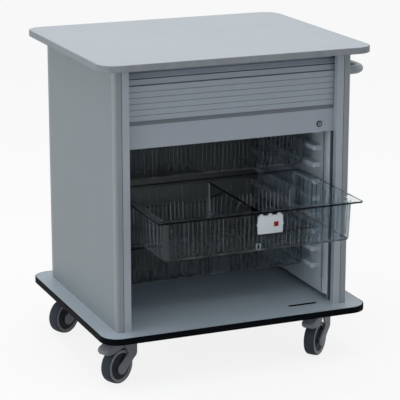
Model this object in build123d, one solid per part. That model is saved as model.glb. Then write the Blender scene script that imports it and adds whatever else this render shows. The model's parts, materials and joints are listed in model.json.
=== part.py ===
from build123d import *
import math
import os

# Shutter box trolley: a laminate cabinet on four castors, with clear trays on side ledges behind a
# slatted roller shutter. Millimetres, +Z up. The front faces -Y, and the origin lies on the floor
# under the middle of the cabinet. The shutter stands half open and the middle tray is pulled out.

# Trays
tray_width = 600.0
tray_depth = 400.0
tray_height = 115.0
tray_flange = 23.0
tray_flange_thickness = 4.0
tray_flange_radius = 15.0
tray_wall = 2.5
tray_floor = 2.5
tray_draft = 4.0
tray_body_radius = 18.0
tray_pull = 291.0
tray_rail_clearance = 3.0
tray_ledge_steps = 3

# Divider, label holder and marker of the middle tray
divider_thickness = 2.5
divider_drop = 4.0
divider_end_clearance = 0.4
divider_foot_width = 12.0
divider_foot_length = 8.0
divider_foot_height = 16.0
label_width = 77.0
label_height = 50.0
label_thickness = 3.0
label_offset = 22.0
label_setback = 2.0
label_ear_radius = 6.0
label_ear_reach = 2.5
prong_width = 10.0
prong_height = 6.0
prong_spacing = 26.0
marker_size = 13.0
marker_thickness = 1.0
marker_offset = 17.0

# Cabinet boards
carcass_height = 731.0
board_overhang = 50.0
board_corner_radius = 50.0
worktop_thickness = 18.0
base_thickness = 18.0
edge_band_thickness = 3.0
edge_band_round = 1.5
side_thickness = 18.0
rear_thickness = 18.0
inner_back_thickness = 8.0
shutter_storage_depth = 27.0
tray_setback = 102.0
tray_back_clearance = 15.0

# Corner posts and shutter guides
post_size = 20.0
post_corner_radius = 8.0
guide_face_width = 20.5
guide_post_gap = 1.5
guide_wall = 3.6
guide_channel_depth = 14.0
tray_guide_clearance = 8.0

# Runner panels, ledges and the battens behind them
tray_runner_clearance = 5.0
runner_thickness = 16.0
runner_front_gap = 20.0
runner_foot_gap = 15.0
runner_head_gap = 11.0
runner_rebate_depth = 2.5
runner_rebate_width = 16.0
rack_rise = 62.0
ledge_pitch = 50.0
ledge_height = 14.0
ledge_front_setback = 90.0
ledge_tray_clearance = 5.5
ledge_nose = 4.0
seat_gap = 0.3
batten_width = 40.0
batten_end_gap = 20.0
batten_front_inset = 90.0
batten_rear_inset = 70.0

# Shutter
shutter_recess = 18.0
slat_pitch = 16.2
slat_gap = 0.6
slat_thickness = 4.0
slat_nose_radius = 1.3
slat_end_clearance = 3.0
leaf_gap = 0.4
bend_leaf_gap = 1.2
visible_slats = 6
upper_leaf_slats = 7
lower_leaf_slats = 4
fixed_leaf_slats = 5
bend_slats = 4
stored_slats = 25
lower_leaf_drop = 62.2
bend_radius = 45.0
track_slat_clearance = 0.3
track_corner_clearance = 1.2
track_flange = 2.7
track_top_gap = 3.8
track_open_angle = 45.0
track_seam = 0.4

# Bottom rail and its lock
rail_face_height = 64.0
rail_slope_height = 9.0
rail_slope_depth = 3.0
rail_plate_thickness = 4.0
rail_box_height = 34.0
rail_wall = 2.0
glide_thickness = 2.0
lock_from_side = 45.0
lock_above_edge = 23.0
lock_ring_radius = 9.0
lock_ring_thickness = 2.0
lock_barrel_radius = 8.0
lock_core_radius = 6.0
lock_core_proud = 0.8
lock_fit = 0.05
lock_hole_clearance = 0.1
keyway_width = 1.6
keyway_length = 7.0
keyway_depth = 4.0
cam_thickness = 3.5
cam_length = 35.0
cam_width = 10.0
cam_hub_radius = 7.0
cam_clearance = 0.5

# Keeper slot in the base
slot_length = 86.0
slot_width = 9.0
slot_end_margin = 6.0
strike_wall = 2.0
strike_depth = 14.0
strike_floor = 1.5

# Push handle
handle_tube_radius = 12.5
handle_tube_wall = 2.0
handle_reach = 68.0
handle_span = 450.0
handle_bend_radius = 32.0
handle_below_worktop = 65.0
handle_flange_radius = 24.0
handle_flange_thickness = 6.0
handle_fit = 0.2
handle_screw_circle = 18.5
handle_screw_radius = 2.0
handle_screw_head_radius = 3.5
handle_screw_head = 2.5
handle_screw_bite = 12.0

# Carcass screws, from under the base into the side panels
carcass_screw_radius = 3.0
carcass_screw_head_radius = 5.0
carcass_screw_head = 4.0
carcass_screw_bite = 35.0
carcass_screw_spacing = 120.0
screw_clearance = 0.1

# Castors
wheel_radius = 50.0
wheel_width = 32.0
tyre_thickness = 10.0
tyre_round = 3.0
rim_ring = 4.0
rim_flange_height = 6.0
rim_flange_thickness = 2.5
rim_flange_recess = 0.5
web_thickness = 8.0
wheel_hub_radius = 12.0
axle_radius = 5.0
running_fit = 0.05
seat_fit = 0.1
fork_side_gap = 1.8
wheel_hub_gap = 0.5
fork_arm_thickness = 5.2
fork_arm_drop = 1.0
fork_head_radius = 17.0
fork_cheek_radius = 14.0
fork_cheek_reach = 20.0
fork_knee_radius = 16.0
fork_knee_drop = 51.5
fork_bar_radius = 13.5
fork_foot_radius = 16.0
fork_foot_drop = 6.0
castor_trail = 44.0
wheel_hub_clearance = 9.5
fork_hub_radius = 28.0
fork_hub_height = 22.0
fork_bridge_half = 16.0
swivel_gap = 0.5
swivel_pin_radius = 6.0
swivel_head_radius = 10.0
swivel_head = 4.2
swivel_head_gap = 0.3
plate_size = 70.0
plate_thickness = 5.0
plate_corner_radius = 6.0
plate_hole_spacing = 48.0
plate_screw_radius = 2.5
plate_screw_head_radius = 4.5
plate_screw_head = 2.8
plate_screw_recess = 3.0
plate_screw_bite = 12.0
castor_side_inset = 100.0
castor_end_inset = 107.0
front_left_heading = 208.0
front_right_heading = 221.0
rear_left_heading = 207.0
rear_right_heading = 221.0

# Brake pedals of the front castors
pedal_pivot_trail = 20.0
pedal_pivot_drop = 14.5
pedal_pin_radius = 3.0
pedal_pin_length = 4.0
pedal_tongue_half = 7.0
pedal_tongue_gap = 0.4
pedal_tongue_reach = 6.0
pedal_tongue_rise = 6.0
pedal_tongue_fall = 5.0
pedal_slot_back = 8.0
pedal_slot_roof = 3.5
pedal_root_gap = 8.0
pedal_root_radius = 4.0
pedal_half_width = 20.0
pedal_overhang = 14.0
pedal_corner_radius = 14.0
pedal_cheek = 2.4
pedal_cheek_rise = 4.0
pedal_cheek_drop = 5.0
pedal_lip = 12.0
pedal_lip_clearance = 3.0
pedal_roof_rise = 2.0
pedal_nose_rise = 6.0
pedal_nose_height = 10.0
pedal_top_fall = 5.0

# Cabinet outline, worked out from the trays and what stands around them
cabinet_width = tray_width + 2 * (tray_guide_clearance + guide_face_width + guide_post_gap + post_size)
cabinet_depth = (tray_setback + tray_depth + tray_back_clearance + inner_back_thickness
                 + shutter_storage_depth + rear_thickness)
half_width = cabinet_width / 2
front = -cabinet_depth / 2
rear = cabinet_depth / 2
inner_half = half_width - side_thickness
castor_height = 2 * wheel_radius + wheel_hub_clearance + fork_hub_height + swivel_gap + plate_thickness
base_top = castor_height + base_thickness
carcass_top = base_top + carcass_height
board_width = cabinet_width + 2 * board_overhang
board_depth = cabinet_depth + 2 * board_overhang

# Shutter planes, from front to back, and heights, from the worktop down
rail_front = front + shutter_recess
rail_plate_back = rail_front + rail_plate_thickness
upper_leaf_front = rail_plate_back + leaf_gap
fixed_leaf_front = upper_leaf_front + slat_thickness + bend_leaf_gap
lower_leaf_front = fixed_leaf_front + slat_thickness + leaf_gap
rail_box_back = lower_leaf_front + slat_thickness
channel_front = rail_front - leaf_gap
channel_back = rail_box_back + leaf_gap
guide_back = channel_back + guide_wall
guide_inner = tray_width / 2 + tray_guide_clearance
guide_web = guide_inner + guide_channel_depth
slat_half_length = guide_web - slat_end_clearance
track_inner_offset = slat_thickness / 2 + track_slat_clearance
track_outer_offset = slat_thickness / 2 + track_corner_clearance
bend_z = carcass_top - track_top_gap - track_flange - track_outer_offset - bend_radius
bend_y = fixed_leaf_front + slat_thickness / 2 + bend_radius
rail_top = bend_z - visible_slats * slat_pitch
rail_bottom = rail_top - rail_slope_height - rail_face_height
lock_x = guide_inner - lock_from_side
lock_z = rail_bottom + lock_above_edge

# Tray places: the top rim just passes under the half-open shutter, and the ledges follow the rims
top_rim = rail_bottom - tray_rail_clearance
middle_rim = top_rim - tray_ledge_steps * ledge_pitch
bottom_rim = middle_rim - tray_ledge_steps * ledge_pitch
tray_front = front + tray_setback
inner_back_front = rear - rear_thickness - shutter_storage_depth - inner_back_thickness
runner_inner = tray_width / 2 + tray_runner_clearance
runner_outer = runner_inner + runner_thickness
runner_front = guide_back + runner_front_gap
runner_bottom = base_top + runner_foot_gap
runner_top = bend_z - runner_head_gap
rack_bottom = base_top + rack_rise
ledge_inner = tray_width / 2 - tray_flange + ledge_tray_clearance

# Castor heights, from the floor up
fork_hub_bottom = 2 * wheel_radius + wheel_hub_clearance
fork_hub_top = fork_hub_bottom + fork_hub_height
plate_bottom = fork_hub_top + swivel_gap
fork_inner_half = wheel_width / 2 + fork_side_gap
fork_outer_half = fork_inner_half + fork_arm_thickness
pedal_pivot_z = fork_hub_top - pedal_pivot_drop
castor_x = board_width / 2 - castor_side_inset
castor_y = board_depth / 2 - castor_end_inset
castor_places = {
    "front_left": (-castor_x, -castor_y, front_left_heading),
    "front_right": (castor_x, -castor_y, front_right_heading),
    "rear_left": (-castor_x, castor_y, rear_left_heading),
    "rear_right": (castor_x, castor_y, rear_right_heading),
}


def block(x0, x1, y0, y1, z0, z1):
    """A box given by its two corners."""
    middle = Pos((x0 + x1) / 2, (y0 + y1) / 2, (z0 + z1) / 2)
    return middle * Box(x1 - x0, y1 - y0, z1 - z0)


def upright(x, y, z0, z1, radius):
    """A cylinder along Z."""
    return Pos(x, y, (z0 + z1) / 2) * Cylinder(radius, z1 - z0)


def across_depth(x, z, y0, y1, radius):
    """A cylinder along Y."""
    return Pos(x, (y0 + y1) / 2, z) * Rot(X=90) * Cylinder(radius, y1 - y0)


def across_width(y, z, x0, x1, radius):
    """A cylinder along X."""
    return Pos((x0 + x1) / 2, y, z) * Rot(Y=90) * Cylinder(radius, x1 - x0)


def along_width(face, x0, x1):
    """A face drawn in (Y, Z) made solid from x0 to x1."""
    return extrude(Plane.YZ.offset(x0) * face, x1 - x0)


def plan_shape(face, z0, z1):
    """A face drawn in (X, Y) made solid from z0 to z1."""
    return extrude(Pos(0, 0, z0) * face, z1 - z0)


def outline(*points):
    """A face bounded by straight lines."""
    return make_face(Polyline(*points, close=True))


def group(solids):
    """Separate solids kept together as one piece name."""
    return Compound(children=[item.solid() for item in solids])


def mirrored(shape):
    """The left-hand twin of a right-hand piece."""
    return mirror(shape, about=Plane.YZ)


def save(name, shape):
    export_step(shape, f"parts/{name}.step")


def edge_band(z0, z1):
    """A glued band round a board, with rounded outer edges."""
    outside = plan_shape(RectangleRounded(board_width, board_depth, board_corner_radius), z0, z1)
    rims = outside.faces().sort_by(Axis.Z)[0].edges() + outside.faces().sort_by(Axis.Z)[-1].edges()
    return fillet(rims, edge_band_round) - board_core(z0, z1)


def board_core(z0, z1):
    """A board inside its edge band."""
    width = board_width - 2 * edge_band_thickness
    depth = board_depth - 2 * edge_band_thickness
    return plan_shape(RectangleRounded(width, depth, board_corner_radius - edge_band_thickness), z0, z1)


# Slot and strike: the hook bolt of the lock drops into a lined slot when the shutter is shut
cam_back = rail_box_back - rail_wall - cam_clearance
cam_front = cam_back - cam_thickness
slot_x = lock_x + slot_end_margin - slot_length / 2
slot_y = (cam_front + cam_back) / 2


def slot_shape(margin, z0, z1):
    shape = SlotOverall(slot_length + 2 * margin, slot_width + 2 * margin)
    return Pos(slot_x, slot_y, 0) * plan_shape(shape, z0, z1)


def lock_strike():
    cup = slot_shape(strike_wall, base_top - strike_depth, base_top)
    return cup - slot_shape(0, base_top - strike_depth + strike_floor, base_top)


# Castor plate and carcass screw places
plate_hole_half = plate_hole_spacing / 2
plate_screw_places = [(x + dx, y + dy) for x, y, heading in castor_places.values()
                      for dx in (-plate_hole_half, plate_hole_half)
                      for dy in (-plate_hole_half, plate_hole_half)]
carcass_screw_x = half_width - side_thickness / 2
carcass_screw_places = [(side * carcass_screw_x, step * carcass_screw_spacing)
                        for side in (-1, 1) for step in (-1, 0, 1)]


def base_plate():
    board = board_core(castor_height, base_top)
    board -= slot_shape(strike_wall, base_top - strike_depth, base_top)
    for x, y in plate_screw_places:
        depth = castor_height + plate_screw_bite + screw_clearance
        board -= upright(x, y, castor_height, depth, plate_screw_radius + screw_clearance)
    for x, y in carcass_screw_places:
        recess = castor_height + carcass_screw_head
        board -= upright(x, y, castor_height, recess, carcass_screw_head_radius + screw_clearance)
        board -= upright(x, y, recess, base_top, carcass_screw_radius + screw_clearance)
    return board


def carcass_screws():
    screws = []
    for x, y in carcass_screw_places:
        neck = castor_height + carcass_screw_head
        head = upright(x, y, castor_height, neck, carcass_screw_head_radius)
        screws.append(head + upright(x, y, neck, base_top + carcass_screw_bite, carcass_screw_radius))
    return group(screws)


def handle_pilot_hole(y, z):
    """The hole that a handle screw bites into, in the right side panel or in a post."""
    return across_width(y, z, half_width - handle_screw_bite - screw_clearance, half_width,
                        handle_screw_radius + screw_clearance)


def side_panel(side):
    """A side board between the front and rear posts; side is -1 on the left and 1 on the right."""
    reach = cabinet_depth / 2 - post_size
    panel = block(inner_half, half_width, -reach, reach, base_top, carcass_top)
    for step in (-1, 0, 1):
        panel -= upright(carcass_screw_x, step * carcass_screw_spacing, base_top,
                         base_top + carcass_screw_bite + screw_clearance,
                         carcass_screw_radius + screw_clearance)
    if side < 0:
        return mirrored(panel)
    for y, z in handle_screw_places:
        panel -= handle_pilot_hole(y, z)
    return panel


def corner_posts():
    section = RectangleRounded(2 * post_size, 2 * post_size, post_corner_radius)
    quarter = section & Pos(post_size / 2, post_size / 2) * Rectangle(post_size, post_size)
    posts = []
    for turn, x, y in ((0, 1, 1), (90, -1, 1), (180, -1, -1), (270, 1, -1)):
        place = Pos(x * (half_width - post_size), y * (rear - post_size), base_top)
        post = place * Rot(Z=turn) * extrude(quarter, carcass_height)
        for screw_y, screw_z in handle_screw_places:
            post -= handle_pilot_hole(screw_y, screw_z)
        posts.append(post)
    return group(posts)


def rear_panel():
    reach = half_width - post_size
    return block(-reach, reach, rear - rear_thickness, rear, base_top, carcass_top)


def inner_back_panel():
    top = bend_z + bend_radius - track_inner_offset - track_flange
    return block(-inner_half, inner_half, inner_back_front, inner_back_front + inner_back_thickness,
                 base_top, top)


def shutter_guide():
    """The right-hand guide: a post with a channel for the shutter, open at the top to the track."""
    outer = half_width - post_size - guide_post_gap
    step = front + post_size + seat_gap
    section = outline((guide_inner, front), (outer, front), (outer, step), (inner_half, step),
                      (inner_half, guide_back), (guide_inner, guide_back), (guide_inner, channel_back),
                      (guide_web, channel_back), (guide_web, channel_front), (guide_inner, channel_front))
    guide = plan_shape(section, base_top, carcass_top)
    track_front = bend_y - bend_radius - track_outer_offset - track_flange - track_seam
    return guide - block(guide_inner, inner_half, track_front, guide_back, bend_z, carcass_top)


def bend_point(radius, angle):
    """A point of the shutter's bend: 0 degrees is at the front, 90 degrees at the top."""
    turn = math.radians(angle)
    return (bend_y - radius * math.cos(turn), bend_z + radius * math.sin(turn))


def track_face(inner_radius, outer_radius, start_angle):
    """The path's band round the bend and along the underside of the worktop."""
    half_angle = (start_angle + 90) / 2
    end = inner_back_front
    outside = ThreePointArc(bend_point(outer_radius, start_angle), bend_point(outer_radius, half_angle),
                            bend_point(outer_radius, 90))
    inside = ThreePointArc(bend_point(inner_radius, 90), bend_point(inner_radius, half_angle),
                           bend_point(inner_radius, start_angle))
    run = Polyline(bend_point(outer_radius, 90), (end, bend_z + outer_radius),
                   (end, bend_z + inner_radius), bend_point(inner_radius, 90))
    mouth = Line(bend_point(inner_radius, start_angle), bend_point(outer_radius, start_angle))
    return make_face([outside, run, inside, mouth])


def open_bend_face(inner_radius, outer_radius):
    """The front of the bend, which the upper leaf passes."""
    half_angle = track_open_angle / 2
    outside = ThreePointArc(bend_point(outer_radius, 0), bend_point(outer_radius, half_angle),
                            bend_point(outer_radius, track_open_angle))
    inside = ThreePointArc(bend_point(inner_radius, track_open_angle), bend_point(inner_radius, half_angle),
                           bend_point(inner_radius, 0))
    top = Line(bend_point(outer_radius, track_open_angle), bend_point(inner_radius, track_open_angle))
    foot = Line(bend_point(inner_radius, 0), bend_point(outer_radius, 0))
    return make_face([outside, top, inside, foot])


def shutter_track():
    """The right-hand track: a curved channel from the guide's head along the underside of the worktop."""
    inner = bend_radius - track_inner_offset
    outer = bend_radius + track_outer_offset
    body = along_width(track_face(inner - track_flange, outer + track_flange, 0), guide_inner, inner_half)
    body -= along_width(track_face(inner, outer, 0), guide_inner, guide_web)
    return body - along_width(open_bend_face(inner, outer + 2 * track_flange), guide_inner, guide_web)


def slat(y, z, turn):
    """One slat, its centre at (y, z), turned back by the bend's angle; its nose edges are rounded."""
    height = slat_pitch - slat_gap
    section = Rectangle(slat_thickness, height)
    section = fillet(section.vertices().group_by(Axis.X)[0], slat_nose_radius)
    return Pos(0, y, z) * Rot(X=-turn) * along_width(section, -slat_half_length, slat_half_length)


def flat_slats(front_y, top_z, count):
    """A flat run of slats, hung down from top_z."""
    middle = front_y + slat_thickness / 2
    return group([slat(middle, top_z - (step + 0.5) * slat_pitch, 0) for step in range(count)])


def track_slats():
    """The slats on the bend and those stored under the worktop."""
    slats = []
    turn = 90 / bend_slats
    for step in range(bend_slats):
        y, z = bend_point(bend_radius, (step + 0.5) * turn)
        slats.append(slat(y, z, (step + 0.5) * turn))
    for step in range(stored_slats):
        slats.append(slat(bend_y + (step + 0.5) * slat_pitch, bend_z + bend_radius, 90))
    return group(slats)


def shutter_rail():
    """The wide bottom rail: a face plate with a sloped top, and a hollow box behind its lower edge."""
    box_top = rail_bottom + rail_box_height
    section = outline((rail_front, rail_bottom), (rail_front, rail_bottom + rail_face_height),
                      (rail_front + rail_slope_depth, rail_top), (rail_plate_back, rail_top),
                      (rail_plate_back, box_top), (rail_box_back, box_top), (rail_box_back, rail_bottom))
    rail = along_width(section, -slat_half_length, slat_half_length)
    rail -= block(-slat_half_length, slat_half_length, rail_front + rail_wall, rail_box_back - rail_wall,
                  rail_bottom + rail_wall, box_top - rail_wall)
    rail -= across_depth(lock_x, lock_z, rail_front, rail_front + rail_wall,
                         lock_barrel_radius + lock_hole_clearance)
    sweep_side = cam_width / 2 + cam_clearance
    return rail - block(lock_x - cam_length - sweep_side, lock_x + sweep_side + cam_clearance,
                        cam_front - cam_clearance, cam_back + cam_clearance,
                        rail_bottom, rail_bottom + rail_wall)


def rail_end_glides():
    """Plastic caps that run in the guides' channels."""
    glides = []
    for side in (-1, 1):
        ends = sorted((side * slat_half_length, side * (slat_half_length + glide_thickness)))
        glides.append(block(ends[0], ends[1], rail_front, rail_box_back,
                            rail_bottom, rail_bottom + rail_box_height))
    return group(glides)


def lock_housing():
    ring = across_depth(lock_x, lock_z, rail_front - lock_ring_thickness, rail_front, lock_ring_radius)
    barrel = across_depth(lock_x, lock_z, rail_front, cam_front - cam_clearance, lock_barrel_radius)
    return ring + barrel - across_depth(lock_x, lock_z, rail_front - lock_ring_thickness, cam_front,
                                        lock_core_radius + lock_fit)


def lock_core():
    face = rail_front - lock_ring_thickness - lock_core_proud
    core = across_depth(lock_x, lock_z, face, cam_front, lock_core_radius)
    return core - block(lock_x - keyway_width / 2, lock_x + keyway_width / 2, face, face + keyway_depth,
                        lock_z - keyway_length / 2, lock_z + keyway_length / 2)


def lock_cam():
    """The hook bolt: it lies along the rail when open and turns down into the base's slot."""
    tip = lock_x - cam_length + cam_width / 2
    cam = across_depth(lock_x, lock_z, cam_front, cam_back, cam_hub_radius)
    cam += across_depth(tip, lock_z, cam_front, cam_back, cam_width / 2)
    return cam + block(tip, lock_x, cam_front, cam_back, lock_z - cam_width / 2, lock_z + cam_width / 2)


def runner_panel():
    """A liner inside the side panel, with a shallow rebate down its front edge."""
    panel = block(runner_inner, runner_outer, runner_front, inner_back_front, runner_bottom, runner_top)
    return panel - block(runner_inner, runner_inner + runner_rebate_depth,
                         runner_front, runner_front + runner_rebate_width, rack_bottom, runner_top)


def runner_ledges():
    """Bars that carry the tray flanges, at one pitch from the lowest to the highest that fits."""
    seat = middle_rim - tray_flange_thickness - seat_gap
    lowest = math.ceil((rack_bottom + ledge_height - seat) / ledge_pitch)
    highest = math.floor((runner_top - seat) / ledge_pitch)
    nose = front + ledge_front_setback
    ledges = []
    for step in range(lowest, highest + 1):
        top = seat + step * ledge_pitch
        bar = block(ledge_inner, runner_inner, nose, inner_back_front, top - ledge_height, top)
        corner = bar.edges().filter_by(Axis.Z).sort_by(Axis.X)[:2].sort_by(Axis.Y)[0]
        ledges.append(chamfer(corner, ledge_nose))
    return ledges


def runner_battens():
    battens = []
    for y in (guide_back + batten_front_inset, inner_back_front - batten_rear_inset):
        battens.append(block(runner_outer, inner_half, y - batten_width / 2, y + batten_width / 2,
                             runner_bottom + batten_end_gap, runner_top - batten_end_gap))
    return group(battens + [mirrored(batten) for batten in battens])


def tray(front_y, rim):
    """A clear tray with a wide flange; its front edge is at front_y and its rim at height rim."""
    middle = front_y + tray_depth / 2
    under = rim - tray_flange_thickness

    def section(shrink, z):
        width = tray_width - 2 * (tray_flange + shrink)
        depth = tray_depth - 2 * (tray_flange + shrink)
        return Pos(0, middle, z) * RectangleRounded(width, depth, tray_body_radius - shrink)

    def drafted(wall, z):
        return tray_draft * (rim - z) / tray_height + wall

    floor = rim - tray_height
    inner_floor = floor + tray_floor
    flange = Pos(0, middle, 0) * plan_shape(
        RectangleRounded(tray_width, tray_depth, tray_flange_radius), under, rim)
    body = loft([section(drafted(0, floor), floor).face(), section(drafted(0, rim), rim).face()])
    inside = loft([section(drafted(tray_wall, inner_floor), inner_floor).face(),
                   section(drafted(tray_wall, rim), rim).face()])
    return flange + body - inside


def tray_divider(front_y, rim):
    """A partition that stands across the middle of the tray, with a foot at each end."""
    floor = rim - tray_height + tray_floor + seat_gap
    top = rim - divider_drop
    middle = front_y + tray_depth / 2

    def reach(z):
        draft = tray_draft * (rim - z) / tray_height
        return tray_depth / 2 - tray_flange - tray_wall - draft - divider_end_clearance

    half = divider_thickness / 2
    plate = along_width(outline((middle - reach(floor), floor), (middle + reach(floor), floor),
                                (middle + reach(top), top), (middle - reach(top), top)), -half, half)
    foot_half = divider_foot_width / 2
    foot_top = floor + divider_foot_height
    for start in (middle - reach(floor), middle + reach(floor) - divider_foot_length):
        plate += block(-foot_half, foot_half, start, start + divider_foot_length, floor, foot_top)
    return plate


def label_holder(front_y, rim):
    """A holder that hangs by three prongs under the tray's front flange."""
    near = front_y + label_setback
    far = near + label_thickness
    hook = rim - tray_flange_thickness
    top = hook - prong_height
    left = label_offset - label_width / 2
    right = label_offset + label_width / 2
    holder = block(left, right, near, far, top - label_height, top)
    for step in (-1, 0, 1):
        x = label_offset + step * prong_spacing
        holder += block(x - prong_width / 2, x + prong_width / 2, near, far, top, hook)
    for x in (left + label_ear_radius - label_ear_reach, right - label_ear_radius + label_ear_reach):
        holder += across_depth(x, top - label_height / 2, near, far, label_ear_radius)
    return holder


def marker_tab(front_y, rim):
    near = front_y + label_setback
    x = label_offset + marker_offset
    z = rim - tray_flange_thickness - prong_height - label_height / 2
    half = marker_size / 2
    return block(x - half, x + half, near - marker_thickness, near, z - half, z + half)


# Handle places, on the right side
handle_z = carcass_top - handle_below_worktop
handle_half = handle_span / 2
handle_screw_places = [(side * handle_half + turn * handle_screw_circle, handle_z)
                       for side in (-1, 1) for turn in (-1, 1)]


def handle_tube(radius):
    reach = half_width + handle_reach
    path = FilletPolyline((half_width, -handle_half, handle_z), (reach, -handle_half, handle_z),
                          (reach, handle_half, handle_z), (half_width, handle_half, handle_z),
                          radius=handle_bend_radius)
    return sweep(Plane(path @ 0, z_dir=path % 0) * Circle(radius), path=path)


def handle_flanges():
    flanges = []
    end = half_width + handle_flange_thickness
    for side in (-1, 1):
        y = side * handle_half
        disc = across_width(y, handle_z, half_width, end, handle_flange_radius)
        disc -= across_width(y, handle_z, half_width, end, handle_tube_radius + handle_fit)
        for screw_y in (y - handle_screw_circle, y + handle_screw_circle):
            disc -= across_width(screw_y, handle_z, half_width, end, handle_screw_radius + screw_clearance)
        flanges.append(disc)
    return group(flanges)


def handle_screws():
    screws = []
    seat = half_width + handle_flange_thickness
    for y, z in handle_screw_places:
        shank = across_width(y, z, half_width - handle_screw_bite, seat, handle_screw_radius)
        screws.append(shank + across_width(y, z, seat, seat + handle_screw_head, handle_screw_head_radius))
    return group(screws)


# Castor pieces are made with the swivel axis on Z and the wheel trailing along +X
def castor_plate():
    plate = plan_shape(RectangleRounded(plate_size, plate_size, plate_corner_radius),
                       plate_bottom, castor_height)
    plate -= upright(0, 0, plate_bottom, castor_height, swivel_pin_radius + seat_fit)
    for x in (-plate_hole_half, plate_hole_half):
        for y in (-plate_hole_half, plate_hole_half):
            recess = plate_bottom + plate_screw_recess
            plate -= upright(x, y, plate_bottom, recess, plate_screw_head_radius + screw_clearance)
            plate -= upright(x, y, recess, castor_height, plate_screw_radius + screw_clearance)
    return plate


def castor_screws():
    screws = []
    for x, y in plate_screw_places:
        seat = plate_bottom + plate_screw_recess
        head = upright(x, y, seat - plate_screw_head, seat, plate_screw_head_radius)
        screws.append(head + upright(x, y, seat, castor_height + plate_screw_bite, plate_screw_radius))
    return group(screws)


def swivel_pin():
    head_top = fork_hub_bottom - swivel_head_gap
    pin = upright(0, 0, head_top, castor_height, swivel_pin_radius)
    return pin + upright(0, 0, head_top - swivel_head, head_top, swivel_head_radius)


def castor_fork(braked):
    """A hub under the plate with two cranked arms to the axle; a braked one has a slot for the pedal."""
    fork = upright(0, 0, fork_hub_bottom, fork_hub_top, fork_hub_radius)
    fork += block(-fork_bridge_half, fork_bridge_half, -fork_outer_half, fork_outer_half,
                  fork_hub_bottom, fork_hub_top)
    arm_top = fork_hub_top - fork_arm_drop
    head = Pos(0, arm_top - fork_head_radius) * Circle(fork_head_radius)
    cheek = Pos(fork_cheek_reach, arm_top - fork_cheek_radius) * Circle(fork_cheek_radius)
    knee = Pos(0, fork_hub_top - fork_knee_drop) * Circle(fork_knee_radius)
    foot = Pos(castor_trail, wheel_radius - fork_foot_drop) * Circle(fork_foot_radius)
    bar_head = Pos(0, fork_hub_top - fork_knee_drop) * Circle(fork_bar_radius)
    upper_face = make_hull(head.edges() + cheek.edges() + knee.edges())
    lower_face = make_hull(bar_head.edges() + foot.edges())
    for side in (-1, 1):
        start = min(side * fork_inner_half, side * fork_outer_half)
        for face in (upper_face, lower_face):
            fork += Pos(0, start, 0) * extrude(Plane.XZ * face, -fork_arm_thickness)
    fork -= upright(0, 0, fork_hub_bottom, fork_hub_top, swivel_pin_radius + running_fit)
    fork -= across_depth(castor_trail, wheel_radius, -fork_outer_half, fork_outer_half,
                         axle_radius + seat_fit)
    if not braked:
        return fork
    slot_half = pedal_tongue_half + pedal_tongue_gap
    pin_half = pedal_tongue_half + pedal_pin_length + pedal_tongue_gap
    fork -= block(pedal_pivot_trail - pedal_slot_back, fork_hub_radius, -slot_half, slot_half,
                  fork_hub_bottom, fork_hub_top - pedal_slot_roof)
    return fork - across_depth(pedal_pivot_trail, pedal_pivot_z, -pin_half, pin_half,
                               pedal_pin_radius + running_fit)


def castor_axle():
    return across_depth(castor_trail, wheel_radius, -fork_outer_half, fork_outer_half, axle_radius)


def wheel_disc(radius, half):
    """A disc on the axle, as thick as twice half."""
    return across_depth(castor_trail, wheel_radius, -half, half, radius)


rim_radius = wheel_radius - tyre_thickness
flange_radius = rim_radius + rim_flange_height
flange_outer_half = wheel_width / 2 - rim_flange_recess
flange_inner_half = flange_outer_half - rim_flange_thickness


def castor_wheel():
    """The wheel's core: a rim with side flanges, a web and a hub bored for the axle."""
    rim = wheel_disc(flange_radius, flange_outer_half)
    rim -= wheel_disc(flange_radius, flange_inner_half) - wheel_disc(rim_radius, flange_inner_half)
    rim -= wheel_disc(rim_radius - rim_ring, flange_outer_half)
    core = rim + wheel_disc(rim_radius - rim_ring, web_thickness / 2)
    core += wheel_disc(wheel_hub_radius, fork_inner_half - wheel_hub_gap)
    return core - wheel_disc(axle_radius + running_fit, fork_inner_half)


def castor_tyre():
    """The tyre: a tread that overlaps the rim's flanges, on a narrower foot between them."""
    tread = wheel_disc(wheel_radius, wheel_width / 2)
    shoulders = tread.edges().filter_by(GeomType.CIRCLE)
    tread = fillet(shoulders, tyre_round)
    tread -= wheel_disc(flange_radius + seat_fit, wheel_width / 2)
    foot = wheel_disc(flange_radius + seat_fit, flange_inner_half - seat_fit)
    return tread + foot - wheel_disc(rim_radius + seat_fit, wheel_width / 2)


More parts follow.
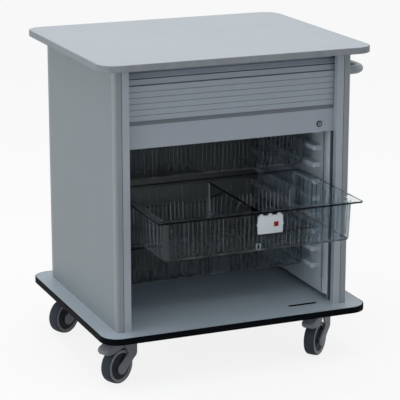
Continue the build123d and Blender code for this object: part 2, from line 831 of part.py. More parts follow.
def brake_pedal():
    """A hood over the wheel with a solid lip, on a tongue with two short pins in the fork's hub."""
    wheel_top = 2 * wheel_radius
    root = fork_hub_radius + pedal_root_gap
    tip = castor_trail + wheel_radius + pedal_overhang
    shoulder = tip - pedal_corner_radius
    lip = tip - pedal_lip
    top = fork_hub_top - pedal_slot_roof
    skirt = wheel_top - pedal_cheek_drop
    nose = skirt + pedal_nose_rise
    side_view = outline((root, wheel_top + pedal_cheek_rise), (shoulder - pedal_corner_radius, skirt),
                        (shoulder, skirt), (tip, nose), (tip, nose + pedal_nose_height),
                        (shoulder, top - pedal_top_fall), (root, top))
    body = Pos(0, -pedal_half_width, 0) * extrude(Plane.XZ * side_view, -2 * pedal_half_width)
    plan = Rectangle(tip - root, 2 * pedal_half_width)
    plan = fillet(plan.vertices().group_by(Axis.X)[0], pedal_root_radius)
    plan = fillet(plan.vertices().group_by(Axis.X)[-1], pedal_corner_radius)
    body &= plan_shape(Pos((root + tip) / 2, 0) * plan, wheel_radius, fork_hub_top)
    hollow = outline((fork_hub_radius, wheel_radius), (lip, wheel_radius),
                     (lip, wheel_top + pedal_lip_clearance),
                     (fork_hub_radius, fork_hub_bottom + pedal_roof_rise))
    hollow_half = pedal_half_width - pedal_cheek
    body -= Pos(0, -hollow_half, 0) * extrude(Plane.XZ * hollow, -2 * hollow_half)
    tongue = block(pedal_pivot_trail - pedal_tongue_reach, root + pedal_corner_radius,
                   -pedal_tongue_half, pedal_tongue_half,
                   pedal_pivot_z - pedal_tongue_fall, pedal_pivot_z + pedal_tongue_rise)
    pin_half = pedal_tongue_half + pedal_pin_length
    return body + tongue + across_depth(pedal_pivot_trail, pedal_pivot_z, -pin_half, pin_half,
                                        pedal_pin_radius)


os.makedirs("parts", exist_ok=True)

# Boards and panels
save("worktop", board_core(carcass_top, carcass_top + worktop_thickness))
save("worktop_edge_band", edge_band(carcass_top, carcass_top + worktop_thickness))
save("base_plate", base_plate())
save("base_edge_band", edge_band(castor_height, base_top))
save("lock_strike", lock_strike())
save("left_side_panel", side_panel(-1))
save("right_side_panel", side_panel(1))
save("rear_panel", rear_panel())
save("inner_back_panel", inner_back_panel())
save("corner_posts", corner_posts())
save("carcass_screws", carcass_screws())

# Guides, tracks and runners, right-hand ones made and left-hand ones mirrored
save("right_shutter_guide", shutter_guide())
save("left_shutter_guide", mirrored(shutter_guide()))
save("right_shutter_track", shutter_track())
save("left_shutter_track", mirrored(shutter_track()))
save("right_runner_panel", runner_panel())
save("left_runner_panel", mirrored(runner_panel()))
save("right_runner_ledges", group(runner_ledges()))
save("left_runner_ledges", group([mirrored(ledge) for ledge in runner_ledges()]))
save("runner_battens", runner_battens())

# Shutter
save("track_slats", track_slats())
save("fixed_slats", flat_slats(fixed_leaf_front, bend_z, fixed_leaf_slats))
save("upper_slats", flat_slats(upper_leaf_front, bend_z, upper_leaf_slats))
save("lower_slats", flat_slats(lower_leaf_front, bend_z - lower_leaf_drop, lower_leaf_slats))
save("shutter_rail", shutter_rail())
save("rail_end_glides", rail_end_glides())
save("lock_housing", lock_housing())
save("lock_core", lock_core())
save("lock_cam", lock_cam())

# Trays
save("top_tray", tray(tray_front, top_rim))
save("middle_tray", tray(tray_front - tray_pull, middle_rim))
save("bottom_tray", tray(tray_front, bottom_rim))
save("tray_divider", tray_divider(tray_front - tray_pull, middle_rim))
save("label_holder", label_holder(tray_front - tray_pull, middle_rim))
save("marker_tab", marker_tab(tray_front - tray_pull, middle_rim))

# Handle
save("push_handle", handle_tube(handle_tube_radius) - handle_tube(handle_tube_radius - handle_tube_wall))
save("handle_flanges", handle_flanges())
save("handle_screws", handle_screws())

# Castors
seats = [Pos(x, y, 0) for x, y, heading in castor_places.values()]
save("castor_plates", group([seat * castor_plate() for seat in seats]))
save("castor_screws", castor_screws())
save("swivel_pins", group([seat * swivel_pin() for seat in seats]))
for corner, (x, y, heading) in castor_places.items():
    place = Pos(x, y, 0) * Rot(Z=heading)
    braked = corner.startswith("front")
    save(f"{corner}_fork", place * castor_fork(braked))
    save(f"{corner}_axle", place * castor_axle())
    save(f"{corner}_wheel", place * castor_wheel())
    save(f"{corner}_tyre", place * castor_tyre())
    if braked:
        save(f"{corner}_brake_pedal", place * brake_pedal())
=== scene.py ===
import json
import math

import bmesh
import bpy
from mathutils import Color, Matrix, Vector


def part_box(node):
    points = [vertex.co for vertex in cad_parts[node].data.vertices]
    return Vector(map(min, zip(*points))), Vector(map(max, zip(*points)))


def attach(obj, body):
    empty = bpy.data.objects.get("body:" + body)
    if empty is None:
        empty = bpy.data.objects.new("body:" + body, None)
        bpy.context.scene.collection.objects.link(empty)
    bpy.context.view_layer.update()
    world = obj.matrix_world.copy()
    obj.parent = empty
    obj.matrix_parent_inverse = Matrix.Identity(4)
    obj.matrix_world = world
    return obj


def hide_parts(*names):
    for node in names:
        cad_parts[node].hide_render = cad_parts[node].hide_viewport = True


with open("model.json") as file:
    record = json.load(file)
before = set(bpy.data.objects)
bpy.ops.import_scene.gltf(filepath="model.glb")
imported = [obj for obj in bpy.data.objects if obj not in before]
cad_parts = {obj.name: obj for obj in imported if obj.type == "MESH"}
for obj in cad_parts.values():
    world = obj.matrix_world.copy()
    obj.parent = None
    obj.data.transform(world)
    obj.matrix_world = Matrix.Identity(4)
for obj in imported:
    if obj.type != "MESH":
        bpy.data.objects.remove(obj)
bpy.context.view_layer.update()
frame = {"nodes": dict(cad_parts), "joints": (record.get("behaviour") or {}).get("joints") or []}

# The stage: a plain pale floor, soft light from above and from the left, and a camera at the
# trolley's front left. Floor and surroundings show white, and the floor keeps a soft shadow.
scene = bpy.context.scene
scene.view_settings.view_transform = "Standard"
white = (1, 1, 1, 1)
# The places of a Mix node's two colours and of its mixed colour among its sockets.
first_colour, second_colour, mixed_colour = 6, 7, 2


def seen_directly(tree):
    """1 for what the eye, a mirror or clear plastic sees of the surroundings, 0 for their light."""
    path = tree.nodes.new("ShaderNodeLightPath")
    seen = path.outputs["Is Camera Ray"]
    for ray in ("Is Glossy Ray", "Is Transmission Ray"):
        both = tree.nodes.new("ShaderNodeMath")
        both.operation = "ADD"
        both.use_clamp = True
        tree.links.new(seen, both.inputs[0])
        tree.links.new(path.outputs[ray], both.inputs[1])
        seen = both.outputs[0]
    return seen


floor_half_side, floor_drop = 40, 0.0005
floor_grey = (0.50, 0.51, 0.52, 1)
floor_white_share = 0.84
floor_shape = bmesh.new()
bmesh.ops.create_grid(floor_shape, x_segments=1, y_segments=1, size=floor_half_side)
bmesh.ops.translate(floor_shape, vec=(0, 0, -floor_drop), verts=floor_shape.verts[:])
floor = bpy.data.objects.new("floor", bpy.data.meshes.new("floor"))
floor_shape.to_mesh(floor.data)
floor_shape.free()
scene.collection.objects.link(floor)
floor_paint = bpy.data.materials.new("floor_paint")
floor_paint.use_nodes = True
floor_tree = floor_paint.node_tree
floor_tree.nodes.remove(floor_tree.nodes["Principled BSDF"])
floor_seen = seen_directly(floor_tree)
floor_tone = floor_tree.nodes.new("ShaderNodeMix")
floor_tone.data_type = "RGBA"
floor_tone.inputs[first_colour].default_value = floor_grey
floor_tone.inputs[second_colour].default_value = white
floor_matt = floor_tree.nodes.new("ShaderNodeBsdfDiffuse")
floor_white = floor_tree.nodes.new("ShaderNodeEmission")
floor_white.inputs["Color"].default_value = white
floor_share = floor_tree.nodes.new("ShaderNodeMath")
floor_share.operation = "MULTIPLY"
floor_share.inputs[1].default_value = floor_white_share
floor_mix = floor_tree.nodes.new("ShaderNodeMixShader")
floor_tree.links.new(floor_seen, floor_tone.inputs["Factor"])
floor_tree.links.new(floor_tone.outputs[mixed_colour], floor_matt.inputs["Color"])
floor_tree.links.new(floor_seen, floor_share.inputs[0])
floor_tree.links.new(floor_share.outputs[0], floor_mix.inputs[0])
floor_tree.links.new(floor_matt.outputs[0], floor_mix.inputs[1])
floor_tree.links.new(floor_white.outputs[0], floor_mix.inputs[2])
floor_tree.links.new(floor_mix.outputs[0], floor_tree.nodes["Material Output"].inputs["Surface"])
floor.data.materials.append(floor_paint)

sky_colour, sky_strength = (0.96, 0.98, 1, 1), 0.60
scene.world = bpy.data.worlds.new("surroundings")
scene.world.use_nodes = True
sky_tree = scene.world.node_tree
sky_light = sky_tree.nodes["Background"]
sky_light.inputs["Color"].default_value = sky_colour
sky_light.inputs["Strength"].default_value = sky_strength
sky_white = sky_tree.nodes.new("ShaderNodeBackground")
sky_white.inputs["Color"].default_value = white
sky_mix = sky_tree.nodes.new("ShaderNodeMixShader")
sky_tree.links.new(seen_directly(sky_tree), sky_mix.inputs[0])
sky_tree.links.new(sky_light.outputs[0], sky_mix.inputs[1])
sky_tree.links.new(sky_white.outputs[0], sky_mix.inputs[2])
sky_tree.links.new(sky_mix.outputs[0], sky_tree.nodes["World Output"].inputs["Surface"])

for name, place, target, side, power in (
        ("overhead", (-0.3, 0.0, 3.3), (0, 0, 0.9), 2.6, 31),
        ("left", (-3.3, -1.0, 0.8), (0, 0, 0.3), 1.6, 25)):
    lamp = bpy.data.objects.new(name, bpy.data.lights.new(name, "AREA"))
    lamp.data.size = side
    lamp.data.energy = power
    lamp.location = place
    lamp.rotation_euler = (Vector(target) - Vector(place)).to_track_quat("-Z", "Y").to_euler()
    scene.collection.objects.link(lamp)

camera_place = (-1.9014, -4.5621, 1.7562)
camera_tilt, camera_heading = math.radians(74.927), math.radians(-22.782)
film_width, focal_length = 36, 158.6
camera = bpy.data.objects.new("camera", bpy.data.cameras.new("camera"))
camera.location = camera_place
camera.rotation_euler = (camera_tilt, 0, camera_heading)
camera.data.sensor_width = film_width
camera.data.lens = focal_length
scene.collection.objects.link(camera)
scene.camera = camera


# Base board: chipboard faced with pale grey laminate, carried by the castor plates. A black band
# is glued round its edge, and a lined slot near its front takes the shutter lock's hook.
def paint(red, green, blue):
    """A paint chip's colour, 0 to 255, in the renderer's own values."""
    return tuple(Color((red / 255, green / 255, blue / 255)).from_srgb_to_scene_linear())


def plain_finish(name, colour, roughness, **sockets):
    """A finish with the shader's constant values set; its texture comes on top."""
    finish = bpy.data.materials.new(name)
    finish.use_nodes = True
    shader = finish.node_tree.nodes["Principled BSDF"]
    shader.inputs["Base Color"].default_value = (*colour, 1)
    shader.inputs["Roughness"].default_value = roughness
    for socket, value in sockets.items():
        shader.inputs[socket.replace("_", " ")].default_value = value
    return finish


def speckle(finish, scale, stretch=(1, 1, 1), detail=3):
    """A fine irregular grain on the piece's own coordinates. A stretch over 1 packs it closer along an
    axis, and one under 1 draws it out."""
    nodes, links = finish.node_tree.nodes, finish.node_tree.links
    place = nodes.new("ShaderNodeMapping")
    place.inputs["Scale"].default_value = stretch
    links.new(nodes.new("ShaderNodeTexCoord").outputs["Object"], place.inputs["Vector"])
    grain = nodes.new("ShaderNodeTexNoise")
    grain.inputs["Scale"].default_value = scale
    grain.inputs["Detail"].default_value = detail
    links.new(place.outputs["Vector"], grain.inputs["Vector"])
    return grain.outputs["Fac"]


def spread(finish, grain, low, high, start=0.3, end=0.7):
    """The grain's range from start to end, as values from low to high."""
    nodes, links = finish.node_tree.nodes, finish.node_tree.links
    span = nodes.new("ShaderNodeMapRange")
    for socket, value in zip(("From Min", "From Max", "To Min", "To Max"), (start, end, low, high)):
        span.inputs[socket].default_value = value
    links.new(grain, span.inputs["Value"])
    return span.outputs["Result"]


def tint(finish, colour, *shades):
    """The base colour, made lighter and darker by each of the grains."""
    nodes, links = finish.node_tree.nodes, finish.node_tree.links
    last = None
    for shade in shades:
        mix = nodes.new("ShaderNodeMix")
        mix.data_type = "RGBA"
        mix.blend_type = "MULTIPLY"
        mix.inputs["Factor"].default_value = 1
        if last is None:
            mix.inputs[first_colour].default_value = (*colour, 1)
        else:
            links.new(last, mix.inputs[first_colour])
        links.new(shade, mix.inputs[second_colour])
        last = mix.outputs[mixed_colour]
    links.new(last, nodes["Principled BSDF"].inputs["Base Color"])


def gloss(finish, grain, low, high):
    """Roughness that drifts between two values."""
    shader = finish.node_tree.nodes["Principled BSDF"]
    finish.node_tree.links.new(spread(finish, grain, low, high), shader.inputs["Roughness"])


def relief(finish, grain, height, strength):
    """Raises the grain on the surface."""
    nodes, links = finish.node_tree.nodes, finish.node_tree.links
    bump = nodes.new("ShaderNodeBump")
    bump.inputs["Strength"].default_value = strength
    bump.inputs["Distance"].default_value = height
    links.new(grain, bump.inputs["Height"])
    links.new(bump.outputs["Normal"], nodes["Principled BSDF"].inputs["Normal"])


def dress(finish, *solids):
    """Gives CAD solids their finish."""
    for name in solids:
        materials = frame["nodes"][name].data.materials
        materials.clear()
        materials.append(finish)


def laminate(name, colour):
    """Satin laminate: a pearl grain pressed in the sheet, faint cloudiness, and fine wipe marks."""
    finish = plain_finish(name, colour, roughness=0.45)
    pearl = speckle(finish, scale=620, detail=2)
    cloud = speckle(finish, scale=7, detail=4)
    wipe = speckle(finish, scale=40, stretch=(1, 6, 6), detail=5)
    tint(finish, colour, spread(finish, pearl, 0.955, 1.03), spread(finish, cloud, 0.975, 1.015))
    gloss(finish, wipe, 0.40, 0.52)
    relief(finish, pearl, height=0.00012, strength=0.5)
    return finish


def band(name, colour, shine):
    """Edge banding: extruded plastic with faint lines along it and a duller bloom."""
    finish = plain_finish(name, colour, roughness=0.50, Specular_IOR_Level=shine)
    bloom = speckle(finish, scale=55, detail=4)
    lines = speckle(finish, scale=30, stretch=(1, 1, 60), detail=2)
    tint(finish, colour, spread(finish, bloom, 0.88, 1.10), spread(finish, lines, 0.95, 1.04))
    gloss(finish, bloom, 0.46, 0.62)
    relief(finish, lines, height=0.00010, strength=0.6)
    return finish


base_laminate = laminate("base_laminate", paint(172, 184, 194))
black_band = band("edge_black", paint(10, 13, 17), shine=0.02)
dress(base_laminate, "base_plate")
dress(black_band, "base_edge_band", "lock_strike")


# Castors: moulded grey forks that swivel on steel plates screwed under the base. Each wheel has a
# pale rim, dark cover discs and a grey rubber tyre; the front two have a broad brake pedal.
corners = ("front_left", "front_right", "rear_left", "rear_right")
pivots = {joint["name"]: Vector(joint["pos_m"]) for joint in frame["joints"] if "pos_m" in joint}
swivel, axle, pedal_pivot = (pivots[f"front_left_{joint}"] for joint in ("swivel", "spin", "brake"))
castor_trail, wheel_radius = (axle - swivel).xy.length, axle.z
along_x, along_y, along_z = Vector((1, 0, 0)), Vector((0, 1, 0)), Vector((0, 0, 1))
same_point = 1e-6


def turned(shape, outline, centre, axis, start, steps):
    """Turns a closed outline of (radius, along the axis) points about an axis, as on a lathe."""
    centre = Vector(centre)
    ring = [shape.verts.new(centre + start * radius + axis * along) for radius, along in outline]
    edges = [shape.edges.new(pair) for pair in zip(ring, ring[1:] + ring[:1])]
    bmesh.ops.spin(shape, geom=ring + edges, cent=centre, axis=axis, angle=2 * math.pi,
                   steps=steps, use_merge=True)
    bmesh.ops.remove_doubles(shape, verts=shape.verts[:], dist=same_point)
    bmesh.ops.recalc_face_normals(shape, faces=shape.faces[:])


def on_axle(*outlines, steps=72):
    """Pieces turned on the wheel's axle, before the castor is put in its place."""
    shape = bmesh.new()
    for outline in outlines:
        turned(shape, outline, (castor_trail, 0, wheel_radius), along_y, along_z, steps)
    return shape


def mirrored(outline):
    """The outline as it is on the wheel's other side."""
    return [(radius, -along) for radius, along in outline]


def both_sides(outline):
    """An outline drawn from the inner end on one side, closed by its mirror image on the other."""
    return outline + mirrored(outline[::-1])


def put_at(shape, corner):
    """Moves a castor piece from the middle of the floor to its corner, turned to its heading."""
    pin, hub = pivots[f"{corner}_swivel"], pivots[f"{corner}_spin"]
    heading = math.atan2(hub.y - pin.y, hub.x - pin.x)
    place = Matrix.Translation((pin.x, pin.y, 0)) @ Matrix.Rotation(heading, 4, "Z")
    bmesh.ops.transform(shape, matrix=place, verts=shape.verts[:])


def piece(name, shape, finish, body, slot, *solids, sharp=35):
    """Makes the shape a piece that rides on its body and stands for the CAD solids it replaces."""
    mesh = bpy.data.meshes.new(name)
    shape.to_mesh(mesh)
    shape.free()
    mesh.materials.append(finish)
    mesh.shade_smooth()
    mesh.set_sharp_from_angle(angle=math.radians(sharp))
    obj = bpy.data.objects.new(name, mesh)
    scene.collection.objects.link(obj)
    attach(obj, body)
    if solids:
        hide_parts(*solids)
    return obj


def moulded(name, colour, shine=0.5):
    """Moulded plastic: a fine eroded grain, and a little dust that lightens it in patches."""
    finish = plain_finish(name, colour, roughness=0.48, Specular_IOR_Level=shine)
    grain = speckle(finish, scale=900, detail=2)
    patch = speckle(finish, scale=28, detail=5)
    tint(finish, colour, spread(finish, grain, 0.94, 1.04), spread(finish, patch, 0.95, 1.06))
    gloss(finish, patch, 0.40, 0.56)
    relief(finish, grain, height=0.00015, strength=0.6)
    return finish


def bare_metal(name, colour, roughness):
    """Plated or drawn metal with a fine mottle and slightly uneven gloss."""
    finish = plain_finish(name, colour, roughness, Metallic=1.0)
    mottle = speckle(finish, scale=220, detail=4)
    tint(finish, colour, spread(finish, mottle, 0.90, 1.05))
    gloss(finish, mottle, roughness - 0.06, roughness + 0.10)
    return finish


def rubber(name, colour):
    """Grey rubber: matt, mottled, with floor dust worn into the tread."""
    finish = plain_finish(name, colour, roughness=0.72, Specular_IOR_Level=0.15)
    grain = speckle(finish, scale=500, detail=4)
    dust = speckle(finish, scale=34, detail=6)
    tint(finish, colour, spread(finish, grain, 0.90, 1.08), spread(finish, dust, 0.90, 1.20))
    gloss(finish, dust, 0.62, 0.82)
    relief(finish, grain, height=0.0002, strength=0.7)
    return finish


steel = bare_metal("steel", paint(172, 174, 176), roughness=0.34)
castor_grey = moulded("castor_plastic", paint(121, 124, 128), shine=0.25)
rim_grey = moulded("wheel_plastic", paint(134, 137, 140), shine=0.25)
disc_grey = moulded("wheel_disc", paint(52, 55, 59), shine=0.08)
tyre_rubber = rubber("tyre_rubber", paint(55, 62, 69))
dress(steel, "castor_plates", "castor_screws", "swivel_pins")

tyre_outline = both_sides([(0.0402, 0.0123), (0.0458, 0.0123), (0.0461, 0.0146), (0.0466, 0.0156),
                           (0.0475, 0.0155), (0.0487, 0.0140), (0.0495, 0.0106), (0.0499, 0.0060),
                           (0.0500, 0.0020)])
rim_outline = both_sides([(0.00505, 0.0172), (0.0064, 0.0172), (0.0070, 0.0166), (0.0070, 0.0060),
                          (0.0150, 0.0040), (0.0350, 0.0040), (0.0375, 0.0060), (0.0375, 0.0142),
                          (0.0381, 0.0152), (0.0392, 0.0155), (0.0448, 0.0155), (0.0457, 0.0152),
                          (0.0460, 0.0144), (0.0460, 0.0130), (0.0400, 0.0126)])
disc_outline = [(0.0074, 0.0062), (0.0074, 0.0160), (0.0082, 0.0168), (0.0106, 0.0168),
                (0.0116, 0.0160), (0.0124, 0.0140), (0.0145, 0.0130), (0.0180, 0.0120),
                (0.0300, 0.0112), (0.0334, 0.0122), (0.0360, 0.0122), (0.0371, 0.0112),
                (0.0371, 0.0062)]


def block(shape, low, high):
    """Adds a square-edged block between two corners, and gives its vertices."""
    low, high = Vector(low), Vector(high)
    return bmesh.ops.create_cube(shape, size=1, matrix=Matrix.Translation((low + high) / 2)
                                 @ Matrix.Diagonal((*(high - low), 1)))["verts"]


def peg(shape, centre, radius, length):
    """Adds a round peg that lies along y."""
    bmesh.ops.create_cone(shape, cap_ends=True, segments=32, radius1=radius, radius2=radius, depth=length,
                          matrix=Matrix.Translation(centre) @ Matrix.Rotation(math.pi / 2, 4, "X"))


def flat_bar(shape, circles, near, far):
    """Adds a flat bar whose outline is drawn tight round (x, z, radius) circles, from near to far in y."""
    bar = bmesh.new()
    for x, z, radius in circles:
        for y in (near, far):
            bmesh.ops.create_circle(bar, segments=40, radius=radius, cap_ends=False,
                                    matrix=Matrix.Translation((x, y, z))
                                    @ Matrix.Rotation(math.pi / 2, 4, "X"))
    bmesh.ops.convex_hull(bar, input=bar.verts[:])
    loose = [vert for vert in bar.verts if not vert.link_faces]
    bmesh.ops.delete(bar, geom=loose, context="VERTS")
    held = bpy.data.meshes.new("bar")
    bar.to_mesh(held)
    bar.free()
    shape.from_mesh(held)
    bpy.data.meshes.remove(held)


def cast(shape, grid, rounds, slot=None):
    """Melts overlapping shapes into one moulding with soft corners; slot is a block cut out of it."""
    rough = bpy.data.objects.new("rough", bpy.data.meshes.new("rough"))
    shape.to_mesh(rough.data)
    shape.free()
    scene.collection.objects.link(rough)
    melt = rough.modifiers.new("melt", "REMESH")
    melt.mode = "VOXEL"
    melt.voxel_size = grid
    soften = rough.modifiers.new("soften", "SMOOTH")
    soften.factor = 0.5
    soften.iterations = rounds
    cutter = None
    if slot:
        cut = bmesh.new()
        block(cut, *slot)
        cutter = bpy.data.objects.new("cutter", bpy.data.meshes.new("cutter"))
        cut.to_mesh(cutter.data)
        cut.free()
        scene.collection.objects.link(cutter)
        carve = rough.modifiers.new("carve", "BOOLEAN")
        carve.operation = "DIFFERENCE"
        carve.object = cutter
    moulding = bmesh.new()
    moulding.from_object(rough, bpy.context.evaluated_depsgraph_get())
    for spare in (rough, cutter):
        if spare:
            bpy.data.objects.remove(spare)
    return moulding


def to_side(side, inner, outer):
    """The lower and the higher place of what lies from inner to outer on one side of the middle."""
    return sorted((side * inner, side * outer))


hub_outline = [(0.0066, 0.1095), (0.0262, 0.1095), (0.0280, 0.1115), (0.0280, 0.1270),
               (0.0262, 0.1300), (0.0225, 0.1315), (0.0066, 0.1315)]
arm_inside, arm_outside, boss_outside = 0.0178, 0.0232, 0.0244
cheek_circles = [(0, 0.1135, 0.0172), (0.020, 0.1165, 0.0142), (0, 0.080, 0.0162)]
leg_circles = [(0, 0.080, 0.0146), (castor_trail, 0.044, 0.0162)]
boss_circles = [(castor_trail, 0.046, 0.0118), (0.022, 0.0640, 0.0090)]
pedal_slot = ((0.012, -0.0076, 0.100), (0.040, 0.0076, 0.128))
fork_grid, fork_rounds = 0.0012, 5


def castor_fork(braked):
    """The fork: a domed hub under the plate, and two cranked arms to the axle, melted into one."""
    shape = bmesh.new()
    turned(shape, hub_outline, (0, 0, 0), along_z, along_x, steps=64)
    for side in (-1, 1):
        flat_bar(shape, cheek_circles, *to_side(side, arm_inside, arm_outside))
        flat_bar(shape, leg_circles, *to_side(side, arm_inside, arm_outside))
        flat_bar(shape, boss_circles, *to_side(side, arm_inside, boss_outside))
    return cast(shape, fork_grid, fork_rounds, pedal_slot if braked else None)


# From the hub outwards: reach, half width, top, lower edge, roof of the hollow, lift of the outer edge.
pedal_sections = (
    (0.0362, 0.0180, 0.1268, 0.1040, 0.1105, 0), (0.0374, 0.0194, 0.1276, 0.1037, 0.1104, 0),
    (0.0400, 0.0200, 0.1277, 0.1032, 0.1100, 0), (0.0600, 0.0201, 0.1252, 0.0991, 0.1075, 0),
    (0.0800, 0.0201, 0.1206, 0.0951, 0.1050, 0), (0.0900, 0.0201, 0.1172, 0.0946, 0.1037, 0.0012),
    (0.0955, 0.0199, 0.1150, 0.0945, 0.0950, 0.0040), (0.0990, 0.0190, 0.1134, 0.0952, 0.0956, 0.0060),
    (0.1024, 0.0172, 0.1116, 0.0966, 0.0970, 0.0066), (0.1050, 0.0144, 0.1100, 0.0984, 0.0988, 0.0056),
    (0.1067, 0.0112, 0.1086, 0.1004, 0.1008, 0.0040), (0.1076, 0.0080, 0.1072, 0.1024, 0.1028, 0.0022))
hood_wall, hood_round, roof_inset, roof_drop = 0.0024, 0.0045, 0.0008, 0.0003
wall_per_lift, round_cut = 1.2, 0.3
tongue = ((0.0140, -0.0069, 0.1121), (0.0490, 0.0069, 0.1229))
ridge_circles = [(0.0335, 0.1253, 0.0022), (0.0400, 0.1240, 0.0030), (0.0400, 0.1200, 0.0030)]
ridge_half_width = 0.0196
pin_radius, pin_length = 0.0030, 0.022
pedal_grid, pedal_rounds = 0.0008, 3


def brake_pedal():
    """The pedal: a hood drawn out over the wheel to a solid lip, on a tongue that pivots in the hub."""
    shape = bmesh.new()
    rings = []
    for reach, half, top, low, roof, lift in pedal_sections:
        inside = half - max(hood_wall, wall_per_lift * lift)
        turn = min(hood_round, (top - low) / 3)
        upper = [(half, low + lift), (half, top - turn), (half - round_cut * turn, top - round_cut * turn),
                 (half - turn, top)]
        under = [(inside - roof_inset, roof), (inside, roof - roof_drop), (inside, low)]
        outline = upper + [(-y, z) for y, z in reversed(upper)]
        outline += [(-y, z) for y, z in reversed(under)] + under
        ring = [shape.verts.new((reach, y, z)) for y, z in outline]
        rings.append([shape.edges.new(pair) for pair in zip(ring, ring[1:] + ring[:1])])
    for near, far in zip(rings, rings[1:]):
        bmesh.ops.bridge_loops(shape, edges=near + far)
    for end in (rings[0], rings[-1]):
        bmesh.ops.edgeloop_fill(shape, edges=end)
    bmesh.ops.recalc_face_normals(shape, faces=shape.faces[:])
    block(shape, *tongue)
    flat_bar(shape, ridge_circles, -ridge_half_width, ridge_half_width)
    peg(shape, ((pedal_pivot - swivel).xy.length, 0, pedal_pivot.z), pin_radius, pin_length)
    return cast(shape, pedal_grid, pedal_rounds)


for corner in corners:
    braked = corner.startswith("front")
    dress(steel, f"{corner}_axle")
    castor_parts = [
        ("fork_moulding", castor_fork(braked), castor_grey, "castor", "castor_plastic", ["fork"]),
        ("wheel_rim", on_axle(rim_outline), rim_grey, "wheel", "wheel_plastic", ["wheel"]),
        ("tyre_tread", on_axle(tyre_outline, steps=96), tyre_rubber, "wheel", "tyre_rubber", ["tyre"]),
        ("wheel_discs", on_axle(mirrored(disc_outline), disc_outline), disc_grey,
         "wheel", "wheel_plastic", [])]
    if braked:
        castor_parts.append(
            ("pedal_scoop", brake_pedal(), castor_grey, "pedal", "castor_plastic", ["brake_pedal"]))
    for part, shape, finish, body, slot, solids in castor_parts:
        put_at(shape, corner)
        piece(f"{corner}_{part}", shape, finish, f"{corner}_{body}", slot,
              *(f"{corner}_{solid}" for solid in solids))


# Carcass: laminated side and rear boards between rounded corner posts, screwed up from under the
# base. A thinner inner back closes the space in which the shutter is stored.
def coated(name, colour):
    """Powder-coated metal: a fine orange-peel skin with an even satin gloss."""
    finish = plain_finish(name, colour, roughness=0.40)
    peel = speckle(finish, scale=420, detail=1)
    drift = speckle(finish, scale=12, detail=3)
    tint(finish, colour, spread(finish, peel, 0.97, 1.02), spread(finish, drift, 0.97, 1.02))
    gloss(finish, peel, 0.34, 0.46)
    relief(finish, peel, height=0.0002, strength=0.35)
    return finish


cabinet_laminate = laminate("cabinet_laminate", paint(126, 137, 142))
# Painted shade: the inner back's laminate is painted dark to stand in for the deep shade inside the cabinet.
inner_laminate = laminate("inner_laminate", paint(80, 82, 80))
# Painted shade: the posts' coating is a darker copy of the guides' coating, standing in for the shade on
# their rounded corners.
post_coat_painted_shade = coated("coated_post_painted_shade", paint(141, 147, 153))
dress(cabinet_laminate, "left_side_panel", "right_side_panel", "rear_panel")
dress(inner_laminate, "inner_back_panel")
dress(post_coat_painted_shade, "corner_posts")
dress(steel, "carcass_screws")


# Shutter guides and tracks: coated upright channels at the front, inside the side boards, each with
# a dark strip in its mouth that is painted shade: it stands in for the shadow inside the channel.
# They lead into curved plastic tracks under the worktop.
def rounded(shape, geom, radius, segments, affect="EDGES", clamp=False):
    """Rounds edges, or corners, off to a radius."""
    bmesh.ops.bevel(shape, geom=geom, offset=radius, offset_type="OFFSET", affect=affect,
                    segments=segments, profile=0.5, material=-1, clamp_overlap=clamp)


def tile(shape, low, high, radius):
    """Adds a small block with rounded edges between two corners."""
    edges = {edge for vert in block(shape, low, high) for edge in vert.link_edges}
    rounded(shape, list(edges), radius, segments=3)


profile_coat = coated("coated_profile", paint(164, 171, 180))
track_black = moulded("track_black", paint(44, 46, 49), shine=0.2)
# Painted shade: a dark finish for strips that stand in for the shadow inside the guide channels.
guide_shade_finish = moulded("guide_painted_shade", paint(92, 98, 106), shine=0.1)
dress(profile_coat, "left_shutter_guide", "right_shutter_guide")
dress(track_black, "left_shutter_track", "right_shutter_track")
guide_low, guide_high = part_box("right_shutter_guide")
guide_face, guide_back, guide_foot = guide_low.x, guide_high.y, guide_low.z
track_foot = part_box("right_shutter_track")[0].z
guide_leg, strip_margin, strip_width = 0.0036, 0.0005, 0.0130
strip_thickness, strip_gap, strip_round = 0.0002, 0.0003, 0.00005
strip_start, strip_back, strip_top = guide_face + strip_margin, guide_back - guide_leg, track_foot - strip_gap
# Each strip lies on the channel's back wall as painted shade, where the shadow falls.
for side, hand in ((-1, "left"), (1, "right")):
    left, right = to_side(side, strip_start, strip_start + strip_width)
    strip = bmesh.new()
    tile(strip, (left, strip_back - strip_thickness, guide_foot), (right, strip_back, strip_top), strip_round)
    piece(f"{hand}_guide_painted_shade", strip, guide_shade_finish, "cabinet", "edge_black")


# Tray runners: grey moulded linings on battens, with ledges at an even pitch. The tray flanges slide
# on the ledges, which have rounded front ends. Pale trim covers the joint of lining and guide. Its
# pale paint is partly painted light for the light that reaches it near the opening. Behind it, a darker
# strip is painted shade for the shadow in the gap between lining and guide.
def only_verts(items):
    """The vertices among what an operator gives back."""
    return [item for item in items if isinstance(item, bmesh.types.BMVert)]


runner_grey = moulded("runner_plastic", paint(180, 189, 198))
# Painted light, in part: the trim's pale paint stands in for the light that reaches it near the opening.
pale_trim_painted_light = moulded("runner_trim_painted_light", paint(206, 213, 220))
# Painted shade: the darker strip behind the trim stands in for the shadow in the gap at the guide.
gap_shade_grey = moulded("runner_gap_shade", paint(126, 133, 140))
batten_board = laminate("batten_board", paint(120, 112, 98))
dress(runner_grey, "left_runner_panel", "right_runner_panel")
dress(batten_board, "runner_battens")
ledge_count, ledge_height, nose_round, ledge_round = 12, 0.014, 0.0060, 0.0012
